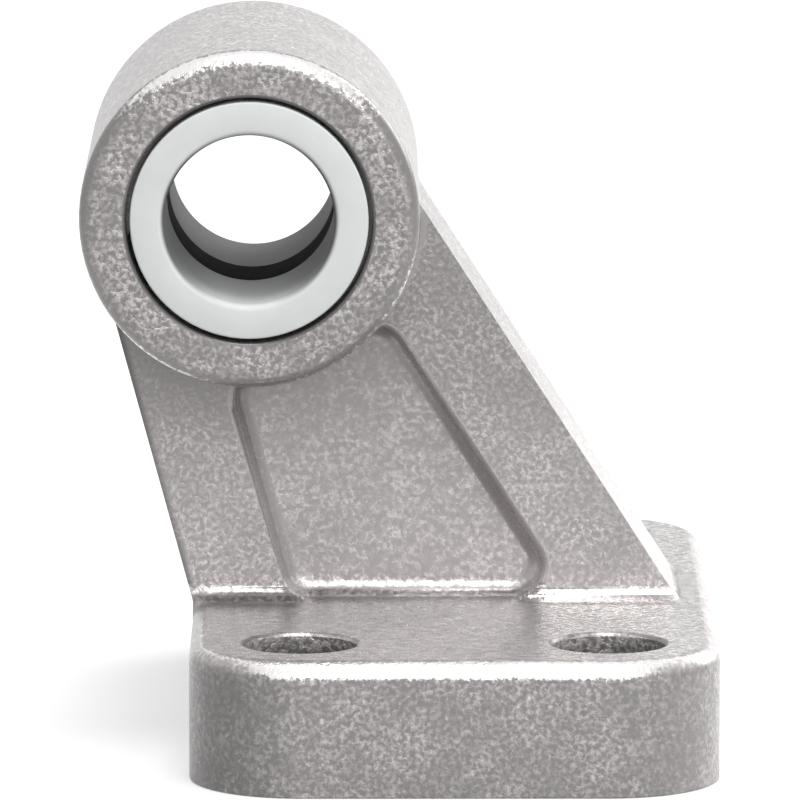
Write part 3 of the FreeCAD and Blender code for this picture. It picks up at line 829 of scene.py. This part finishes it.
class CLEVIS_OT_casting(bpy.types.Operator):
    """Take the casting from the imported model, ease its edges and give it its blasted finish"""
    bl_idname = "clevis.casting"
    bl_label = "Casting"

    def execute(self, context):
        shape = context.scene.clevis_shape
        node = frame["nodes"]["cast_foot"]
        casting = bpy.data.objects.new("casting", node.data.copy())
        context.scene.collection.objects.link(casting)

        open_mesh(casting, "VERT")
        bpy.ops.mesh.select_all(action="SELECT")
        bpy.ops.mesh.remove_doubles(threshold=SAME_PLACE)
        bpy.ops.mesh.dissolve_limited(angle_limit=math.radians(SAME_FACE))
        close_mesh()

        self.ease(casting, self.on_recess_mouth, shape.recess_rounding, ROUNDING_STEPS)
        self.ease(casting, self.on_web_edge, shape.web_rounding, ROUNDING_STEPS)
        self.ease(casting, self.on_rim_chamfer, shape.rim_easing, EASING_STEPS)
        self.ease(casting, self.on_underside, shape.foot_easing, EASING_STEPS)
        finish_shading(casting, CASTING_SMOOTH)
        self.paint(casting)
        dress(casting, cast_aluminium(context.scene.clevis_finish))

        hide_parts("cast_foot")
        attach(casting, "root")
        return {"FINISHED"}

    def ease(self, casting, test, width, segments):
        """Round the outward edges that pass a test."""
        open_mesh(casting, "EDGE")
        pick(casting, "edges", test)
        bpy.ops.mesh.bevel(
            offset=width, offset_type="OFFSET", segments=segments, profile=0.5,
            clamp_overlap=False, loop_slide=True)
        close_mesh()

    @staticmethod
    def is_sharp(edge, degrees):
        """Whether an edge stands outwards and is sharper than so many degrees."""
        if len(edge.link_faces) != 2 or not edge.is_convex:
            return False
        return edge.calc_face_angle(0.0) > math.radians(degrees)

    def on_web_face(self, edge):
        """A sharp edge of the web's two faces, above the root fillet and clear of the eye's."""
        if not self.is_sharp(edge, WEB_SHARP) or edge.calc_length() < SHORTEST_EDGE:
            return False
        face = max(abs(vert.co.y) for vert in edge.verts)
        height = min(vert.co.z for vert in edge.verts)
        clear_of_eye = all(from_eye(vert.co) > EYE_FILLET for vert in edge.verts)
        return abs(face - WEB_FACE) < NEAR_WEB and height > ABOVE_ROOT and clear_of_eye

    @staticmethod
    def falls_inward(edge):
        """Whether the edge belongs to a recess, whose walls run down from the web's face."""
        return any(
            abs(face.normal.y) < HALFWAY and abs(face.calc_center_median().y) > BEYOND_PANEL
            for face in edge.link_faces)

    def on_recess_mouth(self, edge):
        return self.on_web_face(edge) and self.falls_inward(edge)

    def on_web_edge(self, edge):
        return self.on_web_face(edge) and not self.falls_inward(edge)

    def on_rim_chamfer(self, edge):
        """Both edges of the chamfers round the bolt holes and round the relief's mouth."""
        if not self.is_sharp(edge, CHAMFER_SHARP):
            return False
        middle = (edge.verts[0].co + edge.verts[1].co) / 2
        near_top = CHAMFER_LOW < middle.z < FOOT_TOP + FLUSH
        at_hole = near_top and abs(abs(middle.y) - HOLE_Y) < CHAMFER_REACH
        at_mouth = RELIEF_MOUTH_LOW < from_eye(middle) < RELIEF_MOUTH_HIGH
        return at_hole or (at_mouth and abs(middle.y) > RELIEF_END)

    def on_underside(self, edge):
        flush = all(vert.co.z < FLUSH for vert in edge.verts)
        return flush and self.is_sharp(edge, UNDERSIDE_SHARP)

    def paint(self, casting):
        """Note on the mesh where the skin is rounded or coarse, and the painted light or shade of
        each face, for the finish to read.
        """
        mesh = casting.data
        grain = mesh.attributes.new("grain", "FLOAT", "FACE")
        paleness = mesh.attributes.new("paleness", "FLOAT", "FACE")
        rounding = mesh.attributes.new("rounding", "FLOAT", "FACE")
        for face in mesh.polygons:
            coarse, pale = self.skin(face)
            grain.data[face.index].value = coarse
            paleness.data[face.index].value = pale
            rounding.data[face.index].value = self.turn(face.normal, face.center)

    @staticmethod
    def at_hole(place):
        """Whether a place lies on the wall or the chamfer of a bolt hole."""
        reach = math.hypot(abs(place.x) - HOLE_X, abs(place.y) - HOLE_Y)
        return reach < HOLE_REACH and place.z < HOLE_TOP

    def turn(self, normal, place):
        """How strongly a rounding shows wear with a painted highlight, or below 0 how dark its
        painted shade is.
        """
        if self.at_hole(place):
            if normal.z < STEEP:
                return 0.0
            # Painted highlight on a bolt hole's far chamfer, painted shade on chamfers facing
            # right
            return RUBBED_AND_HIGHLIT["chamfer"] if normal.y < -TOWARDS_FRONT else -max(0.0, normal.x)
        out = abs(place.y)
        # Painted highlights fade where a rounding turns sideways, and the foot edge's corners get
        # painted shade
        ahead = ramp(abs(normal.x), *FACING_AHEAD)
        corner = 2.0 * abs(normal.x * normal.y)
        hollow_shade = HOLLOW_SHADE * 2.0 * abs(normal.y) * math.sqrt(max(0.0, 1.0 - normal.y ** 2))
        if place.z > ROOT_TOP and abs(normal.y) > FLAT and out < WEB_SKIN:
            return RUBBED_AND_HIGHLIT["web face"]
        if FOOT_TOP < place.z < ROOT_TOP and normal.z > UPRIGHT:
            on_right = place.x > RIGHT_ROOT_X and out > RIGHT_ROOT_Y
            return RUBBED_AND_HIGHLIT["right root" if on_right else "root"] * ahead
        if FOOT_TURN < place.z < FOOT_TOP and UPRIGHT < normal.z < FLAT:
            return ahead - CORNER_SHADE * corner ** 2
        if from_eye(place) < EYE_SKIN and out > EYE_END:
            return RUBBED_AND_HIGHLIT["eye"] if abs(normal.y) > UPRIGHT else 0.0
        if place.z < FOOT_TOP:
            if abs(normal.x) < SQUARE:
                return RUBBED_AND_HIGHLIT["foot side"]
            # Painted shade on the foot's rounded upright corners, less on those facing right
            return hollow_shade * (1.0 - max(0.0, normal.x))
        # Painted shade on rounded faces that turn right and forward, mostly in the recesses
        if out < RECESS_MOUTH and from_eye(place) > CLEAR_OF_EYE and normal.x > 0.0:
            return hollow_shade
        return 0.0

    def skin(self, face):
        """How densely the specks lie on a face, and the painted light or shade of its ground."""
        place, normal = face.center, face.normal
        if self.at_hole(place):
            if abs(normal.z) < STEEP:
                return SKINS["hole wall"]
            # Painted shade on chamfers facing right, painted light on those facing left
            return CHAMFER_SPECKS, ramp(normal.x, *CHAMFER_GROUND)
        if from_eye(place) < EYE_SKIN:
            return self.eye_skin(place, normal)
        if place.z < FOOT_SKIN:
            return self.foot_skin(normal)
        return self.web_skin(place, normal)

    @staticmethod
    def eye_skin(place, normal):
        radius = from_eye(place)
        flat = max(abs(part) for part in normal) > FLAT
        if radius < EYE_FACE_REACH and abs(place.y) > EYE_END and flat:
            return SKINS["eye face"]
        if radius < RELIEF_REACH:
            return SKINS["relief"]
        if abs(normal.y) < UPRIGHT:
            return SKINS["barrel"]
        # Painted light on the eye's roundings that face down
        below = (1.0 - abs(normal.y)) * ramp(-normal.z, *FACING_DOWN)
        return (
            ramp(abs(normal.y), *EYE_TURN_SPECKS), EYE_TURN_GROUND + EYE_TURN_LIFT * below)

    @staticmethod
    def foot_skin(normal):
        if normal.z > SIDEWAYS:
            return SKINS["foot top"]
        # Painted light on the foot's sides, paler the more they face right
        return (
            ramp(abs(normal.x * normal.y), *FOOT_SIDE_SPECKS),
            ramp(normal.x, *FOOT_SIDE_GROUND))

    @staticmethod
    def web_skin(place, normal):
        out = abs(place.y)
        if abs(normal.y) > FLAT:
            return SKINS["web face" if out > PANEL_SKIN else "recess floor"]
        if RECESS_DEEP < out < RECESS_SHALLOW:
            # Painted light on the recess walls, paler than their floor
            ground = LEFT_WALL_GROUND if normal.x < 0.0 else RIGHT_WALL_GROUND
            return WALL_SPECKS, ramp(abs(normal.y), *ground)
        if normal.x > HALFWAY and normal.z > STEEP:
            return SKINS["slope"]
        if abs(normal.x) > SIDEWAYS:
            return SKINS["upright side"]
        if place.z > ROOT_TOP:
            return SKINS["left turn" if normal.x < 0.0 else "right turn"]
        return SKINS["root"]


# The bushes


class CLEVIS_OT_bushes(bpy.types.Operator):
    """Model both bushes, rounded at the mouth, and give them their plastic"""
    bl_idname = "clevis.bushes"
    bl_label = "Bushes"

    def execute(self, context):
        finish = bush_plastic(context.scene.clevis_finish)
        self.make(context, "bush_front", "front_bush", FRONT_LOW, FRONT_HIGH, -1, finish)
        self.make(context, "bush_rear", "rear_bush", REAR_LOW, REAR_HIGH, 1, finish)
        return {"FINISHED"}

    def make(self, context, name, node, low, high, outward, finish):
        """Turn a solid rod into a bush: inset both ends, join them, round the outer end."""
        shape = context.scene.clevis_shape
        centre = (low + high) / 2
        bpy.ops.object.select_all(action="DESELECT")
        bpy.ops.mesh.primitive_cylinder_add(
            vertices=BUSH_SIDES, radius=SEAT_RADIUS, depth=high.y - low.y, location=centre,
            rotation=(math.pi / 2, 0.0, 0.0))
        bush = context.object
        bush.name = name
        bpy.ops.object.transform_apply(location=True, rotation=True, scale=True)

        open_mesh(bush, "FACE")
        pick(bush, "faces", lambda face: abs(face.normal.y) > SIDEWAYS)
        bpy.ops.mesh.inset(thickness=SEAT_RADIUS - BORE_RADIUS, use_even_offset=True)
        bpy.ops.mesh.bridge_edge_loops()
        close_mesh()

        outer = high.y if outward > 0 else low.y

        def at_outer_end(edge, radius):
            return all(
                abs(vert.co.y - outer) < FLUSH and abs(from_eye(vert.co) - radius) < 5.0 * FLUSH
                for vert in edge.verts)

        open_mesh(bush, "EDGE")
        pick(bush, "edges", lambda edge: at_outer_end(edge, BORE_RADIUS))
        bpy.ops.mesh.bevel(
            offset=shape.mouth_rounding, offset_type="OFFSET", segments=MOUTH_STEPS,
            clamp_overlap=False)
        bpy.ops.mesh.select_all(action="DESELECT")
        pick(bush, "edges", lambda edge: at_outer_end(edge, SEAT_RADIUS))
        bpy.ops.mesh.bevel(
            offset=shape.rim_rounding, offset_type="OFFSET", segments=ROUNDING_STEPS,
            clamp_overlap=False)
        bpy.ops.mesh.select_all(action="SELECT")
        bpy.ops.mesh.normals_make_consistent(inside=False)
        close_mesh()
        finish_shading(bush, BUSH_SMOOTH)
        dress(bush, finish)

        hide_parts(node)
        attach(bush, "root")


# The ring between the bushes


class CLEVIS_OT_ring(bpy.types.Operator):
    """Give the ring between the bushes its black finish"""
    bl_idname = "clevis.ring"
    bl_label = "Black ring"

    def execute(self, context):
        ring = frame["nodes"]["spacer_ring"]
        dress(ring, ring_black(context.scene.clevis_finish))
        return {"FINISHED"}


# Floor, lights and camera


class CLEVIS_OT_stage(bpy.types.Operator):
    """Lay the pale floor and set the soft lights, the white surround and the camera"""
    bl_idname = "clevis.stage"
    bl_label = "Stage"

    def execute(self, context):
        stage = context.scene.clevis_stage
        self.lay_floor(context, stage)
        self.light_room(context, stage)
        for name, power, width, place in SOFT_BOXES:
            self.hang_box(context, name, getattr(stage, power), width, Vector(place))
        self.set_camera(context, stage)
        context.scene.view_settings.view_transform = "Standard"
        return {"FINISHED"}

    def lay_floor(self, context, stage):
        """A pale floor that looks white where it is seen and keeps the object's shadow."""
        bpy.ops.object.select_all(action="DESELECT")
        bpy.ops.mesh.primitive_circle_add(
            vertices=FLOOR_SIDES, radius=FLOOR_RADIUS, fill_type="NGON",
            location=(0.0, 0.0, 0.0))
        floor = context.object
        floor.name = "floor"
        finish = bpy.data.materials.new("floor_pale")
        finish.use_nodes = True
        tree = finish.node_tree
        tree.nodes.clear()
        output = tree.nodes.new("ShaderNodeOutputMaterial")
        ground = tree.nodes.new("ShaderNodeBsdfDiffuse")
        seen = seen_directly(tree)
        pale = mix_node(tree, seen, (*stage.floor_bounce, 1.0), (*stage.floor, 1.0))
        tree.links.new(pale, ground.inputs["Color"])
        glow = tree.nodes.new("ShaderNodeEmission")
        glow.inputs["Color"].default_value = WHITE
        tree.links.new(times_node(tree, seen, FLOOR_GLOW), glow.inputs["Strength"])
        both = tree.nodes.new("ShaderNodeAddShader")
        tree.links.new(ground.outputs["BSDF"], both.inputs[0])
        tree.links.new(glow.outputs["Emission"], both.inputs[1])
        tree.links.new(both.outputs["Shader"], output.inputs["Surface"])
        dress(floor, finish)

    def light_room(self, context, stage):
        """White where the camera, metal or glass sees the room, softer where it lights things."""
        room = bpy.data.worlds.new("room")
        room.use_nodes = True
        context.scene.world = room
        tree = room.node_tree
        tree.nodes.clear()
        output = tree.nodes.new("ShaderNodeOutputWorld")
        glow = tree.nodes.new("ShaderNodeBackground")
        glow.inputs["Color"].default_value = WHITE
        places = tree.nodes.new("ShaderNodeTexCoord")
        towards = vector_node(tree, "DOT_PRODUCT", places.outputs["Generated"], stage.lit_side)
        lit = range_node(tree, towards.outputs["Value"], *ROOM_TURN, 0.0, stage.surround)
        strength = mix_node(tree, seen_directly(tree), lit, 1.0)
        tree.links.new(strength, glow.inputs["Strength"])
        tree.links.new(glow.outputs["Background"], output.inputs["Surface"])

    def hang_box(self, context, name, power, width, place):
        """Hang one square soft box and aim it at the middle of the foot."""
        lamp = bpy.data.lights.new(name, "AREA")
        lamp.shape = "SQUARE"
        lamp.size = width
        lamp.energy = power
        box = bpy.data.objects.new(name, lamp)
        box.location = place
        box.rotation_euler = (BOX_TARGET - place).to_track_quat("-Z", "Y").to_euler()
        context.scene.collection.objects.link(box)

    def set_camera(self, context, stage):
        eye = bpy.data.cameras.new("camera")
        eye.sensor_width = SENSOR_WIDTH
        eye.lens = stage.lens
        eye.clip_start = NEAREST
        eye.clip_end = FARTHEST
        camera = bpy.data.objects.new("camera", eye)
        camera.location = stage.camera_place
        direction = Vector(stage.camera_direction)
        camera.rotation_euler = direction.to_track_quat("-Z", "Y").to_euler()
        context.scene.collection.objects.link(camera)
        context.scene.camera = camera


def seen_directly(tree):
    """One where the camera, a reflection or a view through glass meets a surface, else nought."""
    path = tree.nodes.new("ShaderNodeLightPath")
    seen = math_node(
        tree, "MAXIMUM", path.outputs["Is Camera Ray"], path.outputs["Is Glossy Ray"])
    return math_node(tree, "MAXIMUM", seen, path.outputs["Is Transmission Ray"])


# Panel, registration and the run from start to end


class CLEVIS_PT_panel(bpy.types.Panel):
    bl_idname = "CLEVIS_PT_panel"
    bl_label = "Clevis foot"
    bl_space_type = "VIEW_3D"
    bl_region_type = "UI"
    bl_category = "Clevis foot"

    def draw(self, context):
        layout = self.layout
        for operator in STEPS:
            layout.operator(operator.bl_idname)
        for group in (
            context.scene.clevis_shape, context.scene.clevis_finish, context.scene.clevis_stage,
        ):
            box = layout.box()
            for name in group.__annotations__:
                box.prop(group, name)


GROUPS = (
    ("clevis_shape", ClevisShape),
    ("clevis_finish", ClevisFinish),
    ("clevis_stage", ClevisStage),
)
STEPS = (CLEVIS_OT_casting, CLEVIS_OT_bushes, CLEVIS_OT_ring, CLEVIS_OT_stage)
CLASSES = tuple(group for name, group in GROUPS) + STEPS + (CLEVIS_PT_panel,)


def register():
    for cls in CLASSES:
        bpy.utils.register_class(cls)
    for name, group in GROUPS:
        setattr(bpy.types.Scene, name, bpy.props.PointerProperty(type=group))


def unregister():
    for name, group in GROUPS:
        delattr(bpy.types.Scene, name)
    for cls in reversed(CLASSES):
        bpy.utils.unregister_class(cls)


def main():
    register()
    bpy.ops.clevis.casting()
    bpy.ops.clevis.bushes()
    bpy.ops.clevis.ring()
    bpy.ops.clevis.stage()


if __name__ == "__main__":
    main()
